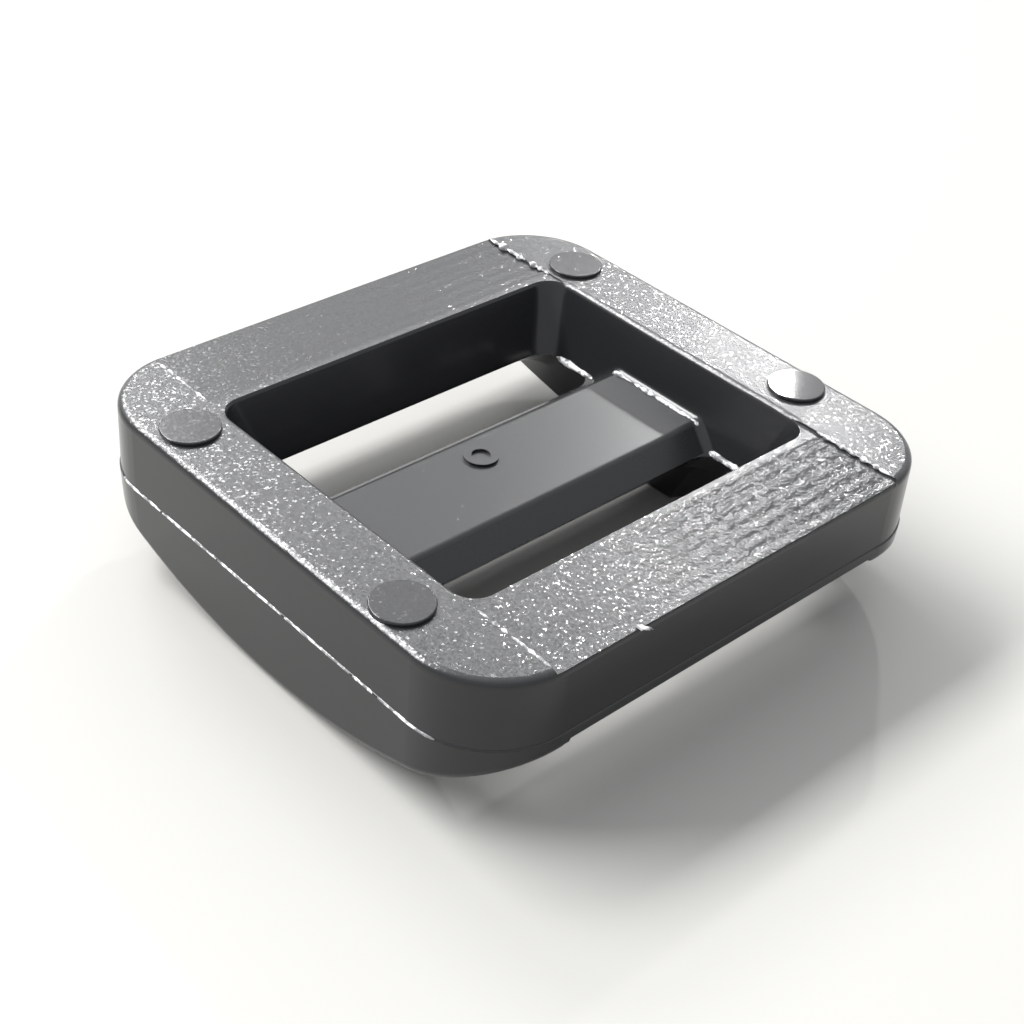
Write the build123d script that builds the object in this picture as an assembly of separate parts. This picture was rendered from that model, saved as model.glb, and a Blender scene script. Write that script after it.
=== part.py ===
from build123d import *
import math
import os

# A moulded strap slider (tri-glide) for 20 mm webbing, lying back face up on its arched front.
# X runs across the strap, Y along it, Z up. The origin is on the surface, under the middle of the part.
# Depths are measured down from the flat back face, which is the top here.

# Outline
overall_width = 32.0
overall_length = 31.2
corner_radius = 4.8
rail_width = 4.3
end_bar_width = 5.8

# Thicknesses and depths
rail_thickness = 8.9
parting_depth = 3.9
end_bar_edge_height = 0.66
rail_end_drop = 0.14
parting_step = 0.06
back_wall_lean = 0.5
front_wall_lean = 2.0

# Roundings
back_edge_radius = 0.4
front_edge_radius = 0.5
window_edge_radius = 0.35
channel_edge_radius = 0.35
end_bar_edge_radius = 0.3
bar_root_radius = 0.5

# Opening, whose walls lean in to an edge at the parting line
rail_lean_in = 1.3
end_bar_lean_in = 1.3
window_corner_radius = 1.3
mouth_corner_radius = 1.7
mouth_lean = 20.0
cheek_lean = 5.0

# Channel between the rails on the front, whose floor carries the end bars and the centre bar
floor_depth = 5.5
end_bar_front_set_back = 1.55

# Centre bar
centre_bar_width = 8.8
centre_bar_recess = 2.8
centre_bar_shoulder = 1.35
shoulder_radius = 0.6
rib_count = 5
rib_pitch = 1.3
rib_width = 0.75
rib_crest_width = 0.2
rib_height = 0.28

# Relief on the back
end_bar_back_recess = 0.15
lip_width = 0.8
lip_height = 0.08
pin_diameter = 3.1
pin_height = 0.2
pin_edge_radius = 0.08
pin_inset_far_left = 2.2
pin_inset_near_left = 1.9
pin_inset_near_right = 1.95
pin_inset_far_right = 2.45
pin_from_end_far_left = 6.8
pin_from_end_near_left = 7.6
pin_from_end_near_right = 8.9
pin_from_end_far_right = 5.8
ring_outer_diameter = 1.9
ring_inner_diameter = 1.0
ring_height = 0.15
ring_offset_x = -1.0
ring_offset_y = 1.4

# Allowances for the modelling itself
embed = 0.5
below = -1.0
beyond = 2.0
tolerance = 0.02
wall_share = 0.8


def arch_radius_for(half_chord, rise):
    """The radius of an arch that rises by so much at both ends of a chord."""
    return (half_chord**2 + rise**2) / (2 * rise)


# Worked out from the sizes above
half_width = overall_width / 2
half_length = overall_length / 2
parting_height = rail_thickness - parting_depth
window_half_x = half_width - rail_width
window_half_y = half_length - end_bar_width
edge_half_x = window_half_x - rail_lean_in
edge_half_y = window_half_y - end_bar_lean_in
centre_bar_half = centre_bar_width / 2
bar_top = rail_thickness - centre_bar_recess
floor_height = rail_thickness - floor_depth
slot_gap = edge_half_y - centre_bar_half
mouth_spread = math.tan(math.radians(mouth_lean))
cheek_spread = math.tan(math.radians(cheek_lean))

# The rails' underside and the bars' fronts are two arches, both set by where they end below the parting line
end_bar_edge_z = parting_height - end_bar_edge_height
arch_radius = arch_radius_for(half_length, end_bar_edge_z - rail_end_drop)
floor_arch_radius = arch_radius_for(half_length, end_bar_edge_z - floor_height)

# Each rounding is at most as large as the wall it is on lets it be
arch_end_turn = math.pi / 2 - math.asin(half_length / arch_radius)
end_wall_height = end_bar_edge_height + rail_end_drop
front_radius = min(front_edge_radius, wall_share * end_wall_height / math.tan(arch_end_turn / 2))
end_bar_radius = min(end_bar_edge_radius, wall_share * end_bar_edge_height)
slot_corner_radius = min(window_corner_radius, wall_share * slot_gap / 2)

# The corners turn beside the channel, so that its walls run out on the straight part of the end faces
channel_end_half = edge_half_x + mouth_spread * end_wall_height + channel_edge_radius
plan_radius = min(corner_radius, half_width - channel_end_half)


def rounded_plate(length_x, length_y, radius, height, centre_y=0.0):
    """One horizontal rounded rectangle at a height, as a face to loft between."""
    return (Pos(0, centre_y, height) * RectangleRounded(length_x, length_y, radius)).face()


def ruled(lower, upper):
    """The straight-sided solid between two outlines."""
    return loft([lower, upper], ruled=True)


def prism_along_x(points, length):
    """A bar along X with the given section in (y, z)."""
    section = Polyline(*[(0, y, z) for y, z in points], close=True)
    return extrude(make_face(section), length / 2, dir=(1, 0, 0), both=True)


def prism_along_y(points, y_low, y_high):
    """A bar along Y with the given section in (x, z)."""
    section = Polyline(*[(x, y_low, z) for x, z in points], close=True)
    return extrude(make_face(section), y_high - y_low, dir=(0, 1, 0))


def make_blank():
    """The outer form: a drafted block with a parting step, arched underneath, its edges rounded."""
    back_inset = 2 * parting_depth * math.tan(math.radians(back_wall_lean))
    front_inset = 2 * parting_height * math.tan(math.radians(front_wall_lean))
    step_width = overall_width - 2 * parting_step
    step_length = overall_length - 2 * parting_step
    step_radius = plan_radius - parting_step
    back_half = ruled(
        rounded_plate(step_width, step_length, step_radius, parting_height),
        rounded_plate(step_width - back_inset, step_length - back_inset, step_radius, rail_thickness),
    )
    front_half = ruled(
        rounded_plate(overall_width - front_inset, overall_length - front_inset, plan_radius, 0),
        rounded_plate(overall_width, overall_length, plan_radius, parting_height),
    )
    arch = Pos(0, 0, arch_radius) * Rot(0, 90, 0) * Cylinder(arch_radius, overall_width + beyond)
    front_half = front_half & arch
    front_half = fillet(front_half.faces().sort_by(Axis.Z)[0].edges(), front_radius)
    back_half = fillet(back_half.faces().sort_by(Axis.Z)[-1].edges(), back_edge_radius)
    return front_half + back_half


def make_pocket():
    """The window cut from the back, down to the sharp edges at the parting line."""
    return ruled(
        rounded_plate(2 * edge_half_x, 2 * edge_half_y, window_corner_radius, parting_height),
        rounded_plate(2 * window_half_x, 2 * window_half_y, window_corner_radius, rail_thickness),
    )


def make_bar_back():
    """What the pocket leaves standing: the back half of the centre bar, with round shoulders."""
    flat_half = centre_bar_half - centre_bar_shoulder
    bar = prism_along_x(
        [
            (-centre_bar_half, parting_height),
            (-flat_half, bar_top),
            (flat_half, bar_top),
            (centre_bar_half, parting_height),
        ],
        overall_width,
    )
    shoulders = [e for e in bar.edges().filter_by(Axis.X) if e.center().Z > bar_top - tolerance]
    return fillet(shoulders, shoulder_radius)


def make_mouth():
    """The front half of one slot, as two flaring stages from the parting line to below the rails."""
    floor_drop = parting_height - floor_height
    bar_front_half = centre_bar_half - centre_bar_shoulder
    outer_front = edge_half_y + end_bar_front_set_back * floor_drop / (floor_drop - floor_rise(edge_half_y))
    upper_x = edge_half_x + mouth_spread * floor_drop
    lower_drop = floor_height - below
    lower_x = upper_x + mouth_spread * lower_drop
    lower_inner = bar_front_half - mouth_spread * lower_drop
    lower_outer = outer_front + mouth_spread * lower_drop
    edge_plate = slot_plate(edge_half_x, centre_bar_half, edge_half_y, slot_corner_radius, parting_height)
    floor_plate = slot_plate(upper_x, bar_front_half, outer_front, mouth_corner_radius, floor_height)
    open_plate = slot_plate(lower_x, lower_inner, lower_outer, mouth_corner_radius, below)
    return ruled(floor_plate, edge_plate) + ruled(open_plate, floor_plate)


def slot_plate(half_x, y_inner, y_outer, radius, height):
    """The rounded outline of one slot at a height."""
    return rounded_plate(2 * half_x, y_outer - y_inner, radius, height, (y_inner + y_outer) / 2)


def floor_rise(y):
    """How far the arched channel floor has risen at a distance from the middle."""
    return floor_arch_radius - math.sqrt(floor_arch_radius**2 - y**2)


def make_channel():
    """The space between the rails under the bars: its roof is the arched floor of the bars' fronts."""
    wide = channel_prism(edge_half_y, half_length + beyond)
    narrow_top = edge_half_x + cheek_spread * (parting_height - floor_height)
    narrow = prism_along_y(
        [
            (-narrow_top, floor_height),
            (narrow_top, floor_height),
            (narrow_top + cheek_spread * (floor_height - below), below),
            (-narrow_top - cheek_spread * (floor_height - below), below),
        ],
        -centre_bar_half,
        centre_bar_half,
    )
    centre_z = floor_height + floor_arch_radius
    roof = Pos(0, 0, centre_z) * Rot(0, 90, 0) * Cylinder(floor_arch_radius, overall_width + 2 * beyond)
    return (wide + mirror(wide, Plane.XZ)) - roof + narrow


def make_ribs():
    """The grip ribs under the centre bar."""
    length = 2 * edge_half_x + 2 * cheek_spread * (parting_height - floor_height)
    root_half = rib_width / 2
    crest_half = rib_crest_width / 2
    ribs = []
    for index in range(rib_count):
        y = (index - (rib_count - 1) / 2) * rib_pitch
        root = floor_height + floor_rise(y) + rib_height / 2
        tip = floor_height - rib_height
        rib = [(y - root_half, root), (y + root_half, root), (y + crest_half, tip), (y - crest_half, tip)]
        ribs.append(prism_along_x(rib, length))
    return ribs


def make_end_bar_recess(y_inner, floor_z):
    """What is taken off the back of one end bar, from a distance outward, down to a height."""
    half_x = window_half_x
    top_z = rail_thickness + beyond
    return prism_along_y(
        [(-half_x, floor_z), (half_x, floor_z), (half_x, top_z), (-half_x, top_z)],
        y_inner,
        half_length + beyond,
    )


def make_relief():
    """The ejector-pin discs on the rails and the plain ring on the centre bar."""
    centres = [
        (-half_width + pin_inset_far_left, half_length - pin_from_end_far_left),
        (-half_width + pin_inset_near_left, -half_length + pin_from_end_near_left),
        (half_width - pin_inset_near_right, -half_length + pin_from_end_near_right),
        (half_width - pin_inset_far_right, half_length - pin_from_end_far_right),
    ]
    pieces = []
    for x, y in centres:
        disc = standing_disc(pin_diameter, x, y, rail_thickness - embed, pin_height + embed)
        pieces.append(fillet(disc.edges().sort_by(Axis.Z)[-1], pin_edge_radius))
    x, y = ring_offset_x, ring_offset_y
    ring = standing_disc(ring_outer_diameter, x, y, bar_top - embed, ring_height + embed)
    ring -= standing_disc(ring_inner_diameter, x, y, bar_top, beyond)
    return pieces + [ring]


def standing_disc(diameter, x, y, foot, height):
    """An upright disc with its foot at a height."""
    return Pos(x, y, foot) * Cylinder(diameter / 2, height, align=(Align.CENTER, Align.CENTER, Align.MIN))


def make_window_cutter():
    """The pocket less the bar, its roots rounded where the bar meets the rails."""
    cutter = make_pocket() - make_bar_back()
    roots = [
        e
        for e in cutter.edges()
        if abs(e.center().X) > edge_half_x - tolerance
        and abs(e.center().Y) < centre_bar_half
        and e.center().Z < bar_top + tolerance
    ]
    return fillet(roots, bar_root_radius)


def window_rim(frame):
    """The edges around the window, on the back face."""
    return [
        e
        for e in frame.edges()
        if abs(e.center().Z - rail_thickness) < tolerance
        and abs(e.center().X) < window_half_x + tolerance
        and abs(e.center().Y) < window_half_y + tolerance
    ]


def make_end_bar_rounding():
    """What is taken off under one end bar's outer face to round its edge, within the channel's width."""
    foot = end_bar_edge_z - embed
    corner_y = half_length - end_bar_radius
    corner_z = end_bar_edge_z + end_bar_radius
    outer_y = half_length + beyond
    block = prism_along_x(
        [(corner_y, foot), (outer_y, foot), (outer_y, corner_z), (corner_y, corner_z)],
        overall_width,
    )
    rounding = Pos(0, corner_y, corner_z) * Rot(0, 90, 0) * Cylinder(end_bar_radius, overall_width)
    return (block - rounding) & channel_prism(corner_y - embed, outer_y)


def channel_prism(y_low, y_high):
    """The channel's width between its leaning walls, from the parting line to below the rails."""
    half_x = edge_half_x
    foot_x = half_x + mouth_spread * (parting_height - below)
    return prism_along_y(
        [(-half_x, parting_height), (half_x, parting_height), (foot_x, below), (-foot_x, below)],
        y_low,
        y_high,
    )


def channel_rim(frame):
    """The edges where the channel and the slots open through the rails' arched undersides."""
    edges = []
    for e in frame.edges():
        middle = e.position_at(0.5)
        from_arch = math.hypot(middle.Y, middle.Z - arch_radius) - arch_radius
        if abs(from_arch) < tolerance and abs(middle.X) < window_half_x + mouth_corner_radius:
            edges.append(e)
    return edges


def make_slider_frame():
    """The whole moulding."""
    mouth = make_mouth()
    frame = make_blank() - make_window_cutter()
    frame = fillet(window_rim(frame), window_edge_radius)
    frame -= mouth + mirror(mouth, Plane.XZ) + make_channel()
    frame = fillet(channel_rim(frame), channel_edge_radius)
    rounding = make_end_bar_rounding()
    frame -= rounding
    frame -= mirror(rounding, Plane.XZ)
    # The far end bar keeps a low lip beside the window, the near one has none
    recess_z = rail_thickness - end_bar_back_recess
    frame -= make_end_bar_recess(window_half_y + lip_width, recess_z)
    frame -= make_end_bar_recess(edge_half_y, recess_z + lip_height)
    frame -= mirror(make_end_bar_recess(edge_half_y, recess_z), Plane.XZ)
    for piece in make_ribs() + make_relief():
        frame += piece
    return frame


os.makedirs("parts", exist_ok=True)
slider_frame = make_slider_frame()
print("volume", round(slider_frame.volume), "solids", len(slider_frame.solids()))
export_step(slider_frame, "parts/slider_frame.step")
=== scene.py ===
"""Looks for a moulded strap slider: one black acetal moulding with a spark-eroded back.

Laid out as an add-on and run as a script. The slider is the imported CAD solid. This file gives it its
surface, models what the mould leaves behind, and sets a small studio round it. Everything is in metres.
"""

import math

import bmesh
import bpy
from bpy.props import FloatProperty, FloatVectorProperty, IntProperty, PointerProperty
from mathutils import Matrix, Vector, noise


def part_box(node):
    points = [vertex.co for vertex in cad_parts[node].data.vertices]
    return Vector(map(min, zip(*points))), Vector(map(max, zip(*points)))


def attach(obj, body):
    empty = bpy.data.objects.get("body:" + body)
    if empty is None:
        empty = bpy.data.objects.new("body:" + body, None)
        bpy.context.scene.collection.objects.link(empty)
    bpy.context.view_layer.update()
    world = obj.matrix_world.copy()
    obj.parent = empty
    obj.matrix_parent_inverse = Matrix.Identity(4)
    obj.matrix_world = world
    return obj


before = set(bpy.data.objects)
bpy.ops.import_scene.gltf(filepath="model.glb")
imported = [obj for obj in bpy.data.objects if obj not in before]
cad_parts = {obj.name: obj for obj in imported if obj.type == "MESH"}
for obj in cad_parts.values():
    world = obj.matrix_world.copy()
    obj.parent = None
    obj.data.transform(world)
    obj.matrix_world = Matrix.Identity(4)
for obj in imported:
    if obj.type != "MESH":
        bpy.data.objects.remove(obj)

bl_info = {
    "name": "Strap slider looks",
    "version": (1, 0, 0),
    "blender": (4, 5, 0),
    "location": "View3D > Sidebar > Slider",
    "description": "Surface, mould marks and studio for a moulded strap slider",
    "category": "Object",
}

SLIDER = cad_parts["slider_frame"]
LOW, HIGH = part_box("slider_frame")
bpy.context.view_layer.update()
MM = 0.001

# Places on the moulding, from its middle and from the surface that it lies on
PARTING_HEIGHT = 5.0 * MM
PARTING_CORNER_RADIUS = 4.7 * MM
SLOT_END = 10.38 * MM
SLOT_INNER_SIDE = 4.4 * MM
SLOT_OUTER_SIDE = 7.6 * MM
INSERT_LINE = 11.7 * MM
INSERT_LINE_START = 10.1 * MM
INSERT_LINE_END = 15.2 * MM
INSERT_LINE_HEIGHT = 8.86 * MM
RIGHT_BAR_ROOT = [Vector(point) * MM for point in (
    (10.72, 3.6, 5.65), (10.6, 3.0, 6.12), (10.6, -3.0, 6.12), (10.72, -3.7, 5.6), (10.42, -4.3, 5.1))]

# Beads of plastic that the mould's joints leave
SEAM_INSET = 0.1 * MM
FLASH_INSET = 0.09 * MM
FLASH_REACH = math.radians(50)
CORNER_STEPS = 12
BEAD_SIDES = 8
BEAD_TIP = 0.08
BEAD_TAPER = 1 / 8
RAG_WIDTH = 0.3 * MM

# The gate's broken stub
GATE_SINK = 0.15 * MM
GATE_DROP = 0.38 * MM
GATE_SLANT = math.radians(25)
GATE_CUTS = 3
GATE_BEVEL = 0.03 * MM
TEAR_ACROSS = 9
TEAR_UP = 7
TEAR_DEPTH = 0.35

# The acetal's finish
ACETAL_IOR = 1.48
WAVER_WIDTH = 1.9 * MM
WAVER_TURN = 3.5
RIDGE_BEAD_WIDTH = 0.4 * MM
CLOUD_WIDTH = 1.6 * MM
HIGHLIGHT_NOISE_WIDTH = 0.35 * MM

# The studio
FLOOR_HALF = 1.5
FIBRE_WIDTH = 0.6 * MM
FIBRE_DEPTH = 0.02 * MM
WINDOW_FACING = Vector((0, -1, 0))
CAMERA_PLACE = Vector((-53.154, -53.07, 58.313)) * MM
CAMERA_AIM = Vector((-1.409, -1.631, 4.5)) * MM


def linear(hex_colour):
    """An sRGB hex colour as linear red, green and blue."""
    parts = [int(hex_colour[i : i + 2], 16) / 255 for i in (1, 3, 5)]
    return [p / 12.92 if p <= 0.04045 else ((p + 0.055) / 1.055) ** 2.4 for p in parts]


def add_node(tree, kind, links=None, **settings):
    """One shader node with its settings, and its sockets set to values or linked to other sockets or nodes.

    A node stands for its first output.
    """
    node = tree.nodes.new("ShaderNode" + kind)
    for name, value in settings.items():
        setattr(node, name, value)
    for socket, value in (links or {}).items():
        if isinstance(value, bpy.types.Node):
            value = value.outputs[0]
        if isinstance(value, bpy.types.NodeSocket):
            tree.links.new(value, node.inputs[socket])
        else:
            node.inputs[socket].default_value = value
    return node


def new_material(name):
    """An empty node material and its tree."""
    material = bpy.data.materials.new(name)
    material.use_nodes = True
    material.node_tree.nodes.clear()
    return material, material.node_tree


def finish_piece(name, shape, material):
    """Turns a bmesh into an object at the origin with its material."""
    mesh = bpy.data.meshes.new(name)
    shape.to_mesh(mesh)
    shape.free()
    mesh.materials.append(material)
    piece = bpy.data.objects.new(name, mesh)
    bpy.context.scene.collection.objects.link(piece)
    return piece


class MouldingFinish(bpy.types.PropertyGroup):
    """What a user would change about the plastic."""

    # The back's lighter colour is a painted sheen, standing in for the light that its grain scatters
    sheened_back_colour: FloatVectorProperty(
        name="Back colour", description="Plastic on the spark-eroded back, where the grain scatters light",
        subtype="COLOR", size=3, min=0, max=1, default=linear("#212223"))
    wall_colour: FloatVectorProperty(
        name="Wall colour", description="Plastic on the drafted walls, polished by the mould's opening",
        subtype="COLOR", size=3, min=0, max=1, default=linear("#1c1d1e"))
    facet_width: FloatProperty(
        name="Crater width", description="Width of one spark crater's floor on the back", unit="LENGTH",
        default=0.105 * MM, min=0.05 * MM, max=1 * MM)
    facet_tilt: FloatProperty(
        name="Crater tilt", description="How far crater floors tilt, as a share of their width",
        default=0.15, min=0, max=1)
    grain_width: FloatProperty(
        name="Grain width", description="Width of the unevenness that craters leave together", unit="LENGTH",
        default=0.25 * MM, min=0.05 * MM, max=1 * MM)
    grain_depth: FloatProperty(
        name="Grain depth", description="Depth of that unevenness", unit="LENGTH",
        default=0.016 * MM, min=0, max=0.3 * MM)
    wash_pitch: FloatProperty(
        name="Cutter pitch", description="Distance between the cutter's passes on the end bars' backs",
        unit="LENGTH", default=0.85 * MM, min=0.3 * MM, max=3 * MM)
    wash_depth: FloatProperty(
        name="Cutter mark depth", description="Height of the ridges between the cutter's passes",
        unit="LENGTH", default=0.037 * MM, min=0, max=0.3 * MM)


class GateMark(bpy.types.PropertyGroup):
    """What a user would change about the gate vestige."""

    place: FloatProperty(
        name="Place across", description="Where the gate was, from the middle, across the strap",
        unit="LENGTH", default=-6.5 * MM)
    length: FloatProperty(
        name="Length", description="Length of the broken edge", unit="LENGTH",
        default=0.8 * MM, min=0.1 * MM, max=3 * MM)
    height: FloatProperty(
        name="Height", description="Height of the broken edge", unit="LENGTH",
        default=0.1 * MM, min=0.05 * MM, max=1 * MM)
    stand: FloatProperty(
        name="Stand", description="How far it reaches out from its root, which is sunk in the end wall",
        unit="LENGTH", default=0.18 * MM, min=0, max=0.5 * MM)


class MouldFlash(bpy.types.PropertyGroup):
    """What a user would change about the thin flash where the mould's parts met."""

    seam_radius: FloatProperty(
        name="Seam radius", description="Radius of the bead along the parting line", unit="LENGTH",
        default=0.1 * MM, min=0.01 * MM, max=0.3 * MM)
    insert_radius: FloatProperty(
        name="Insert line radius", description="Radius of the bead between end bars and rails",
        unit="LENGTH", default=0.1 * MM, min=0.01 * MM, max=0.3 * MM)
    steps: IntProperty(
        name="Steps", description="Rings along the straight of each rail's bead", default=72, min=8, max=400)


class Studio(bpy.types.PropertyGroup):
    """What a user would change about the floor, the lights and the camera."""

    floor_colour: FloatVectorProperty(
        name="Floor colour", description="Pale card under the slider", subtype="COLOR",
        size=3, min=0, max=1, default=linear("#afaeab"))
    key_power: FloatProperty(
        name="Key light", description="Strength of the small light that single craters glint in",
        unit="POWER", default=0.22, min=0, max=20)
    card_power: FloatProperty(
        name="Back card", description="Strength of the broad card that smooth tops mirror", unit="POWER",
        default=0.4, min=0, max=20)
    back_power: FloatProperty(
        name="Back light", description="Strength of the light behind the far end", unit="POWER",
        default=0.4, min=0, max=20)
    side_power: FloatProperty(
        name="Side window", description="Strength of the tall window behind the left rail", unit="POWER",
        default=6.0, min=0, max=50)
    sky_strength: FloatProperty(
        name="Room light", description="Strength of the pale room round it", default=0.95, min=0, max=5)
    focal_length: FloatProperty(
        name="Focal length", description="Lens of the camera", unit="CAMERA", default=62.0, min=20, max=300)
    camera_roll: FloatProperty(
        name="Camera roll", description="How far the camera is tipped sideways", subtype="ANGLE",
        default=math.radians(4.99))


def spark_eroded_acetal(finish):
    """Black acetal moulded against spark-eroded steel.

    The eye sees a satin charcoal back, pitted with small craters that glint singly against the light, and
    smoother, darker, glossier walls where the draft let the steel be polished.
    """
    material, tree = new_material("spark_eroded_black_acetal")
    place = add_node(tree, "TexCoord").outputs
    xyz = add_node(tree, "SeparateXYZ", {0: place["Object"]}).outputs
    facing = add_node(tree, "SeparateXYZ", {0: place["Normal"]}).outputs
    uprightness, across, along = [
        add_node(tree, "Math", {0: value}, operation="ABSOLUTE")
        for value in (facing["Z"], xyz["X"], xyz["Y"])]
    grain, waver, ridge_beads, cloud = [
        add_node(
            tree, "TexNoise",
            {"Vector": place["Object"], "Scale": 1 / width, "Detail": detail, "Roughness": 0.6})
        for width, detail in (
            (finish.grain_width, 3.0), (WAVER_WIDTH, 3.0), (RIDGE_BEAD_WIDTH, 2.0), (CLOUD_WIDTH, 3.0))]

    # Each mask goes softly from nought to one as its value goes from start to end
    mask = {}
    for name, value, start, end in (
        ("faces_up", uprightness, 0.55, 0.93),
        ("pin_tops", xyz["Z"], 8.95 * MM, 9.03 * MM),
        ("in_window", xyz["Z"], 7.4 * MM, 6.6 * MM),
        ("end_bars", along, 10.0 * MM, 10.4 * MM),
        ("end_bars_backs", xyz["Z"], 8.5 * MM, 8.65 * MM),
        ("between_rails", across, 11.75 * MM, 11.65 * MM),
        ("clear_of_rails", across, 11.65 * MM, 11.5 * MM),
        ("far_half", xyz["Y"], -MM, MM),
        ("near_half", xyz["Y"], MM, -MM),
        ("right_half", xyz["X"], -MM, MM),
        ("toward_near", xyz["Y"], 5 * MM, -5 * MM),
        ("toward_right", xyz["X"], -9 * MM, 8 * MM),
        ("bead_tops", ridge_beads, 0.35, 0.65),
    ):
        mask[name] = add_node(
            tree, "MapRange", {"Value": value, "From Min": start, "From Max": end},
            interpolation_type="SMOOTHSTEP")
    for name, factors in (
        ("polished_pin", ("pin_tops", "right_half", "near_half")),
        ("far_bar", ("end_bars", "between_rails", "far_half")),
        ("centre_bar", ("faces_up", "in_window")),
        ("ridged", ("end_bars", "clear_of_rails", "end_bars_backs")),
        ("near_right", ("toward_near", "toward_right")),
    ):
        mask[name] = mask[factors[0]]
        for factor in factors[1:]:
            mask[name] = add_node(tree, "Math", {0: mask[name], 1: mask[factor]}, operation="MULTIPLY")

    # How rough the mould left each place: most on the back, less on the walls, the pins, the far end bar and
    # whatever lies inside the window
    smooth = 0.0
    for name, weight in (("pin_tops", 0.6), ("polished_pin", 0.4), ("in_window", 0.85), ("far_bar", 0.4)):
        smooth = add_node(tree, "Math", {0: mask[name], 1: weight, 2: smooth}, operation="MULTIPLY_ADD")
    not_smooth = add_node(tree, "Math", {0: smooth, 1: -0.93, 2: 1.0}, operation="MULTIPLY_ADD")
    eroded = add_node(tree, "Math", {0: mask["faces_up"], 1: 0.85, 2: 0.15}, operation="MULTIPLY_ADD")
    share = add_node(tree, "Math", {0: eroded, 1: not_smooth}, operation="MULTIPLY")

    # Each crater floor is a small glossy facet that tilts its own way, so single craters glint over the haze
    # that the finer roughness spreads
    floors = add_node(tree, "TexVoronoi", {"Vector": place["Object"], "Scale": 1 / finish.facet_width})
    centred = add_node(
        tree, "VectorMath", {0: floors.outputs["Color"], 1: (0.5, 0.5, 0.5)}, operation="SUBTRACT")
    tilt = (2 * finish.facet_tilt,) * 3
    tilted = add_node(
        tree, "VectorMath", {0: centred, 1: tilt, 2: place["Normal"]}, operation="MULTIPLY_ADD")
    facets = add_node(tree, "VectorMath", {0: tilted}, operation="NORMALIZE")
    grain_height = finish.grain_depth
    for factor in (grain, share):
        grain_height = add_node(tree, "Math", {0: factor, 1: grain_height}, operation="MULTIPLY")

    # The cutter's passes on the end bars' backs run along the bars, waver with the hand-finished steel and
    # are deepest at the near bar's right end
    shift = add_node(tree, "Math", {0: waver, 1: WAVER_TURN}, operation="MULTIPLY")
    turn = add_node(
        tree, "Math", {0: along, 1: 2 * math.pi / finish.wash_pitch, 2: shift}, operation="MULTIPLY_ADD")
    passes = add_node(tree, "Math", {0: turn}, operation="SINE")
    beaded = add_node(tree, "Math", {0: mask["bead_tops"], 1: 1.3, 2: 0.2}, operation="MULTIPLY_ADD")
    worn = add_node(tree, "Math", {0: mask["near_right"], 1: 0.85, 2: 0.15}, operation="MULTIPLY_ADD")
    wash_height = finish.wash_depth
    for factor in (passes, beaded, mask["ridged"], worn):
        wash_height = add_node(tree, "Math", {0: factor, 1: wash_height}, operation="MULTIPLY")
    height = add_node(tree, "Math", {0: wash_height, 1: 0.6, 2: grain_height}, operation="MULTIPLY_ADD")
    bump = add_node(tree, "Bump", {"Height": height, "Strength": 1.0, "Distance": 1.0})
    glints = add_node(
        tree, "Bump", {"Height": wash_height, "Normal": facets, "Strength": 1.0, "Distance": 1.0})

    # The back is a little lighter than the walls, by patches: the lighter colour on faces turned up is a
    # painted sheen for the light the grain scatters, and the patches are random tone; it is also duller
    # where it is rougher
    patches = add_node(tree, "Math", {0: cloud, 1: 0.6, 2: 0.6}, operation="MULTIPLY_ADD")
    sheen_and_patches = add_node(tree, "Math", {0: mask["faces_up"], 1: patches}, operation="MULTIPLY")
    tone = add_node(
        tree, "Mix", {"Factor": sheen_and_patches, 6: (*finish.wall_colour, 1), 7: (*finish.sheened_back_colour, 1)},
        data_type="RGBA")
    dullness = add_node(tree, "Math", {0: cloud, 1: share, 2: share}, operation="MULTIPLY_ADD")
    roughness = 0.17
    for where, weight in ((dullness, 0.12), (mask["polished_pin"], -0.14), (mask["centre_bar"], 0.12)):
        roughness = add_node(tree, "Math", {0: where, 1: weight, 2: roughness}, operation="MULTIPLY_ADD")
    coat = 0.75
    for factor in (share, share):
        coat = add_node(tree, "Math", {0: factor, 1: coat}, operation="MULTIPLY")
    shader = add_node(
        tree, "BsdfPrincipled",
        {"Base Color": tone.outputs[2], "Roughness": roughness, "IOR": ACETAL_IOR, "Normal": bump,
         "Coat Weight": coat, "Coat Roughness": 0.15, "Coat IOR": ACETAL_IOR, "Coat Normal": glints})
    add_node(tree, "OutputMaterial", {"Surface": shader})
    return material


def paint_highlight_acetal():
    """The same acetal where the mould pinched it thin or a gate was broken off, painted pale.

    The eye sees it pale with a dull gloss: a painted highlight, pale colour that stands in for the light
    these thin edges catch.
    """
    material, tree = new_material("highlight_painted_acetal")
    place = add_node(tree, "TexCoord").outputs["Object"]
    # Painted highlight: pale colour broken up by noise, standing in for the light the thin flash catches
    thin = add_node(tree, "TexNoise", {"Vector": place, "Scale": 1 / HIGHLIGHT_NOISE_WIDTH, "Detail": 2.0})
    painted_highlight = add_node(
        tree, "MapRange", {"Value": thin, "From Min": 0.4, "From Max": 0.6}, interpolation_type="SMOOTHSTEP")
    tone = add_node(
        tree, "Mix", {"Factor": painted_highlight, 6: (*linear("#77787a"), 1), 7: (*linear("#e4e5e6"), 1)},
        data_type="RGBA")
    shader = add_node(
        tree, "BsdfPrincipled", {"Base Color": tone.outputs[2], "Roughness": 0.35, "IOR": ACETAL_IOR})
    add_node(tree, "OutputMaterial", {"Surface": shader})
    return material


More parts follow.
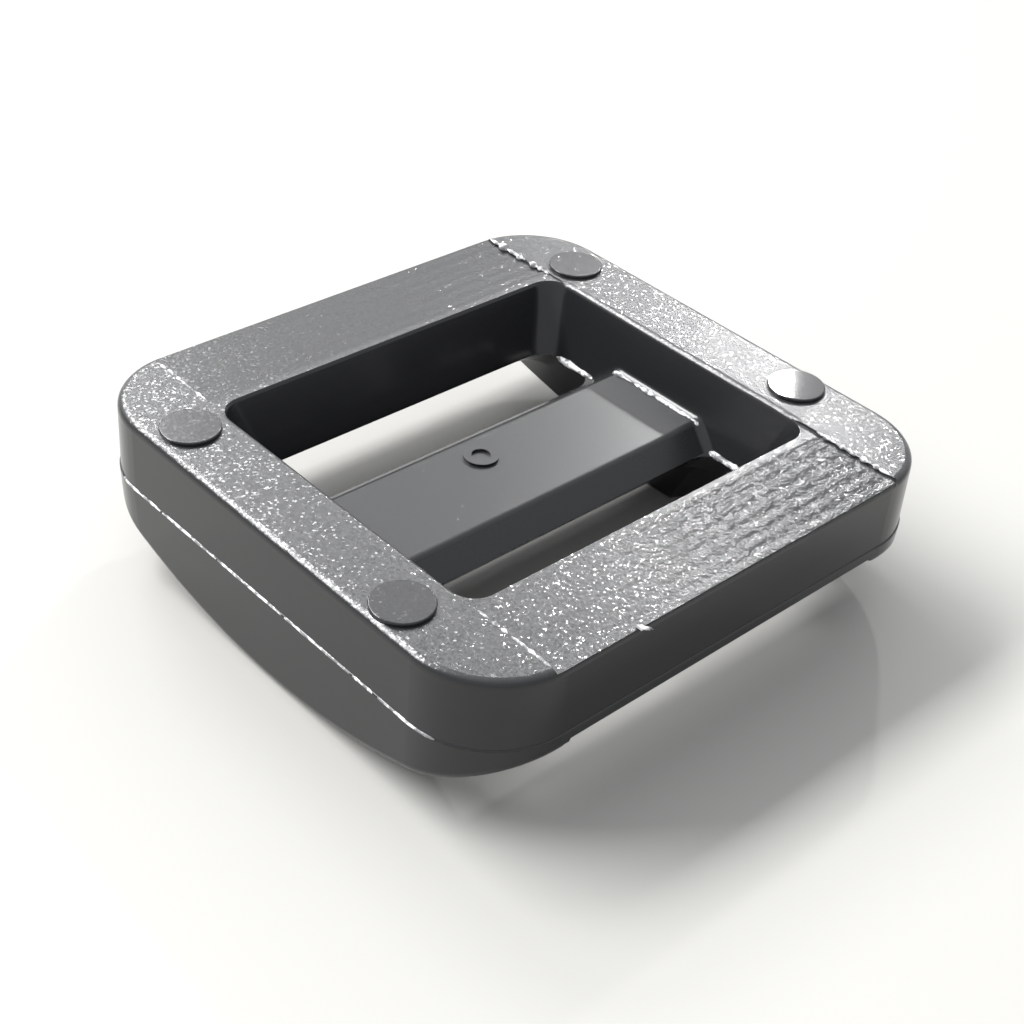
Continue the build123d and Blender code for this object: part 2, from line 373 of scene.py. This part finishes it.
def pale_card(colour):
    """Matt card, whose fibres only break its brightness a little."""
    material, tree = new_material("pale_matt_card")
    place = add_node(tree, "TexCoord").outputs["Object"]
    fibres = add_node(tree, "TexNoise", {"Vector": place, "Scale": 1 / FIBRE_WIDTH, "Detail": 4.0})
    bump = add_node(tree, "Bump", {"Height": fibres, "Strength": 0.15, "Distance": FIBRE_DEPTH})
    shader = add_node(
        tree, "BsdfPrincipled", {"Base Color": (*colour, 1), "Roughness": 0.85, "Normal": bump})
    add_node(tree, "OutputMaterial", {"Surface": shader})
    return material


class SLIDER_OT_dress_moulding(bpy.types.Operator):
    """Gives the moulding its plastic, and makes the pale plastic with painted highlights ready for the marks
    on it
    """

    bl_idname = "slider.dress_moulding"
    bl_label = "Dress moulding"

    def execute(self, context):
        material = spark_eroded_acetal(context.scene.moulding_finish)
        SLIDER.data.materials.clear()
        SLIDER.data.materials.append(material)
        SLIDER.material_slots[0].material = material
        # The pale plastic is a painted highlight for the mould marks' thin edges
        paint_highlight_acetal()
        return {"FINISHED"}


class SLIDER_OT_make_gate_mark(bpy.types.Operator):
    """Models the broken stub that the gate leaves on the near end bar"""

    bl_idname = "slider.make_gate_mark"
    bl_label = "Make gate mark"

    def execute(self, context):
        gate = context.scene.gate_mark
        shape = bmesh.new()
        bmesh.ops.create_cube(shape, size=1.0)
        size = Matrix.Diagonal((gate.length, 2 * gate.stand, gate.height, 1))
        bmesh.ops.transform(shape, matrix=size, verts=shape.verts)
        bmesh.ops.subdivide_edges(shape, edges=shape.edges, cuts=GATE_CUTS, use_grid_fill=True)
        for vert in shape.verts:
            across = math.sin(vert.co.x / gate.length * TEAR_ACROSS)
            up = math.cos(vert.co.z / gate.height * TEAR_UP)
            if vert.co.y < 0:
                vert.co.y += across * up * gate.stand * TEAR_DEPTH
        bmesh.ops.bevel(
            shape, geom=shape.edges, offset=GATE_BEVEL, segments=1, profile=0.5, affect="EDGES", material=-1)
        root = Vector((gate.place, LOW.y + GATE_SINK, HIGH.z - GATE_DROP))
        slant = Matrix.Translation(root) @ Matrix.Rotation(GATE_SLANT, 4, "Y")
        bmesh.ops.transform(shape, matrix=slant, verts=shape.verts)
        bmesh.ops.recalc_face_normals(shape, faces=shape.faces)
        # The stub gets the pale plastic, a painted highlight along its broken edge
        piece = finish_piece("gate_mark", shape, bpy.data.materials["highlight_painted_acetal"])
        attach(piece, "root")
        return {"FINISHED"}


def spread(start, end, steps):
    """Evenly spread points from one place to another."""
    return [start.lerp(end, index / steps) for index in range(steps + 1)]


def outline(half_x, half_y, radius, height, steps):
    """Points round a rounded rectangle at a height, with so many steps for each corner."""
    points = []
    for quarter, (side_x, side_y) in enumerate(((1, 1), (-1, 1), (-1, -1), (1, -1))):
        for step in range(steps + 1):
            turn = math.pi / 2 * (quarter + step / steps)
            x = side_x * (half_x - radius) + radius * math.cos(turn)
            y = side_y * (half_y - radius) + radius * math.sin(turn)
            points.append(Vector((x, y, height)))
    return points


def rail_seam(side, half_x, half_y, radius, height, reach, steps):
    """Points along the outline beside one rail, and round both corners as far as an angle."""
    ends = []
    corner_steps = steps // 4
    for end in (1, -1):
        corner = []
        for step in range(corner_steps + 1):
            turn = reach * (1 - step / corner_steps)
            x = side * (half_x - radius + radius * math.cos(turn))
            y = end * (half_y - radius + radius * math.sin(turn))
            corner.append(Vector((x, y, height)))
        ends.append(corner)
    far, near = ends
    return far + spread(far[-1], near[-1], steps)[1:-1] + near[::-1]


def ragged_bead(shape, points, radius, raggedness, seed=0, closed=False):
    """A thin bead along some points, thick and thin by turns. An open one is drawn out thin at both ends."""
    last = len(points) - 1
    rings = []
    for index, centre in enumerate(points):
        before = points[index - 1] if closed or index else centre
        after = points[(index + 1) % len(points)] if closed or index < last else centre
        to_nearer_end = min(index, last - index) / last
        draw = 1.0 if closed else BEAD_TIP + (1 - BEAD_TIP) * min(1.0, to_nearer_end / BEAD_TAPER)
        wobble = 1 + 2 * raggedness * noise.noise(centre / RAG_WIDTH + Vector((seed, 0, 0)))
        turn = (after - before).to_track_quat("Z", "Y").to_matrix().to_4x4()
        ring = bmesh.ops.create_circle(
            shape, segments=BEAD_SIDES, radius=radius * draw * wobble,
            matrix=Matrix.Translation(centre) @ turn)["verts"]
        rings.append(list({edge for vert in ring for edge in vert.link_edges}))
    pairs = list(zip(rings, rings[1:]))
    if closed:
        pairs.append((rings[-1], rings[0]))
    else:
        bmesh.ops.contextual_create(shape, geom=rings[0])
        bmesh.ops.contextual_create(shape, geom=rings[-1])
    for one, other in pairs:
        bmesh.ops.bridge_loops(shape, edges=one + other)


def ride_along(name, shape, material):
    """Smooths a mould mark's shape, turns it into an object and lets it ride on the slider."""
    bmesh.ops.recalc_face_normals(shape, faces=shape.faces)
    for face in shape.faces:
        face.smooth = True
    piece = finish_piece(name, shape, material)
    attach(piece, "root")


class SLIDER_OT_make_seam_flash(bpy.types.Operator):
    """Models the seam round the parting line and the flash on the rails, in the slots and at the bar"""

    bl_idname = "slider.make_seam_flash"
    bl_label = "Make seam flash"

    def execute(self, context):
        flash = context.scene.mould_flash
        radius = flash.seam_radius
        short_steps = flash.steps // 4

        seam = bmesh.new()
        path = outline(
            HIGH.x - SEAM_INSET, HIGH.y - SEAM_INSET, PARTING_CORNER_RADIUS, PARTING_HEIGHT, CORNER_STEPS)
        ragged_bead(seam, path, radius, 0.0, closed=True)
        ride_along("parting_seam", seam, SLIDER.material_slots[0].material)

        shape = bmesh.new()
        for side in (-1, 1):
            outer = rail_seam(
                side, HIGH.x - FLASH_INSET, HIGH.y - FLASH_INSET, PARTING_CORNER_RADIUS, PARTING_HEIGHT,
                FLASH_REACH, flash.steps)
            ragged_bead(shape, outer, radius, 0.12, side)
            for end in (-1, 1):
                inner = spread(
                    Vector((side * SLOT_END, end * SLOT_INNER_SIDE, PARTING_HEIGHT)),
                    Vector((side * SLOT_END, end * SLOT_OUTER_SIDE, PARTING_HEIGHT)), short_steps)
                ragged_bead(shape, inner, 1.8 * radius, 0.3, end + 3 * side)
        corner = []
        for start, end in zip(RIGHT_BAR_ROOT, RIGHT_BAR_ROOT[1:]):
            corner += spread(start, end, short_steps)[:-1]
        ragged_bead(shape, corner, 0.8 * radius, 0.9, 5)
        # The flash gets the pale plastic, a painted highlight along its edges
        ride_along("seam_flash", shape, bpy.data.materials["highlight_painted_acetal"])
        return {"FINISHED"}


class SLIDER_OT_make_insert_flash(bpy.types.Operator):
    """Models the ragged lines where the mould's inserts for the end bars met the rails"""

    bl_idname = "slider.make_insert_flash"
    bl_label = "Make insert flash"

    def execute(self, context):
        flash = context.scene.mould_flash
        shape = bmesh.new()
        for side, end, width, raggedness in (
            (-1, -1, 0.9, 0.7),
            (-1, 1, 0.8, 0.8),
            (1, -1, 0.9, 0.8),
            (1, 1, 1.4, 0.8),
        ):
            path = spread(
                Vector((side * INSERT_LINE, end * INSERT_LINE_START, INSERT_LINE_HEIGHT)),
                Vector((side * INSERT_LINE, end * INSERT_LINE_END, INSERT_LINE_HEIGHT)), flash.steps // 2)
            ragged_bead(shape, path, width * flash.insert_radius, raggedness, 2 * side + end)
        # The insert lines get the pale plastic, a painted highlight along them
        ride_along("insert_flash", shape, bpy.data.materials["highlight_painted_acetal"])
        return {"FINISHED"}


def direction(azimuth, elevation):
    """The unit vector toward a place in the room, from angles in degrees."""
    around, up = math.radians(azimuth), math.radians(elevation)
    return Vector((math.cos(up) * math.cos(around), math.cos(up) * math.sin(around), math.sin(up)))


class SLIDER_OT_set_studio(bpy.types.Operator):
    """Lays the floor, hangs the lights and places the camera"""

    bl_idname = "slider.set_studio"
    bl_label = "Set studio"

    def execute(self, context):
        studio = context.scene.studio
        self.lay_floor(studio)
        self.hang_lights(studio)
        self.light_room(studio)
        self.place_camera(studio)
        return {"FINISHED"}

    def lay_floor(self, studio):
        shape = bmesh.new()
        bmesh.ops.create_grid(shape, x_segments=1, y_segments=1, size=FLOOR_HALF)
        floor = finish_piece("floor", shape, pale_card(studio.floor_colour))

    def hang_lights(self, studio):
        centre = (LOW + HIGH) / 2
        for name, azimuth, elevation, distance, width, height, power in (
            ("key_light", 33.4, 31.6, 0.33, 0.01, 0.01, studio.key_power),
            ("back_card", 46, 38, 0.5, 0.35, 0.22, studio.card_power),
            ("back_light", 77, 37, 0.33, 0.1, 0.06, studio.back_power),
            ("side_window", 128.7, 45.0, 0.453, 0.4, 0.16, studio.side_power),
        ):
            spot = centre + distance * direction(azimuth, elevation)
            data = bpy.data.lights.new(name, "AREA")
            data.shape = "RECTANGLE"
            data.size = width
            data.size_y = height
            data.energy = power
            light = bpy.data.objects.new(name, data)
            light.location = spot
            faced = WINDOW_FACING if name == "side_window" else centre - spot
            light.rotation_euler = faced.to_track_quat("-Z", "Y").to_euler()
            bpy.context.scene.collection.objects.link(light)

    def light_room(self, studio):
        world = bpy.data.worlds.new("pale_room")
        world.use_nodes = True
        background = world.node_tree.nodes["Background"]
        background.inputs["Color"].default_value = (*linear("#eef0f2"), 1)
        background.inputs["Strength"].default_value = studio.sky_strength
        bpy.context.scene.world = world
        bpy.context.scene.view_settings.view_transform = "Standard"

    def place_camera(self, studio):
        data = bpy.data.cameras.new("photo_camera")
        data.lens = studio.focal_length
        data.clip_start = 0.005
        data.clip_end = 10
        camera = bpy.data.objects.new("photo_camera", data)
        look = (CAMERA_AIM - CAMERA_PLACE).to_track_quat("-Z", "Y").to_matrix()
        turn = look @ Matrix.Rotation(studio.camera_roll, 3, "Z")
        camera.matrix_world = Matrix.Translation(CAMERA_PLACE) @ turn.to_4x4()
        bpy.context.scene.collection.objects.link(camera)
        bpy.context.scene.camera = camera


STEPS = (
    SLIDER_OT_dress_moulding,
    SLIDER_OT_make_gate_mark,
    SLIDER_OT_make_seam_flash,
    SLIDER_OT_make_insert_flash,
    SLIDER_OT_set_studio,
)
GROUPS = {
    "moulding_finish": MouldingFinish,
    "gate_mark": GateMark,
    "mould_flash": MouldFlash,
    "studio": Studio,
}


class SLIDER_PT_looks(bpy.types.Panel):
    """Lists the steps and their settings in the sidebar"""

    bl_idname = "SLIDER_PT_looks"
    bl_label = "Strap slider"
    bl_space_type = "VIEW_3D"
    bl_region_type = "UI"
    bl_category = "Slider"

    def draw(self, context):
        for step in STEPS:
            self.layout.operator(step.bl_idname)
        for name, group in GROUPS.items():
            box = self.layout.box()
            for setting in group.bl_rna.properties:
                if not setting.is_readonly and setting.identifier != "name":
                    box.prop(getattr(context.scene, name), setting.identifier)


def register():
    for name, group in GROUPS.items():
        bpy.utils.register_class(group)
        setattr(bpy.types.Scene, name, PointerProperty(type=group))
    for cls in (*STEPS, SLIDER_PT_looks):
        bpy.utils.register_class(cls)


def unregister():
    for cls in (SLIDER_PT_looks, *reversed(STEPS)):
        bpy.utils.unregister_class(cls)
    for name, group in reversed(GROUPS.items()):
        delattr(bpy.types.Scene, name)
        bpy.utils.unregister_class(group)


def main():
    register()
    for step in STEPS:
        area, name = step.bl_idname.split(".")
        getattr(getattr(bpy.ops, area), name)()


if __name__ == "__main__":
    main()
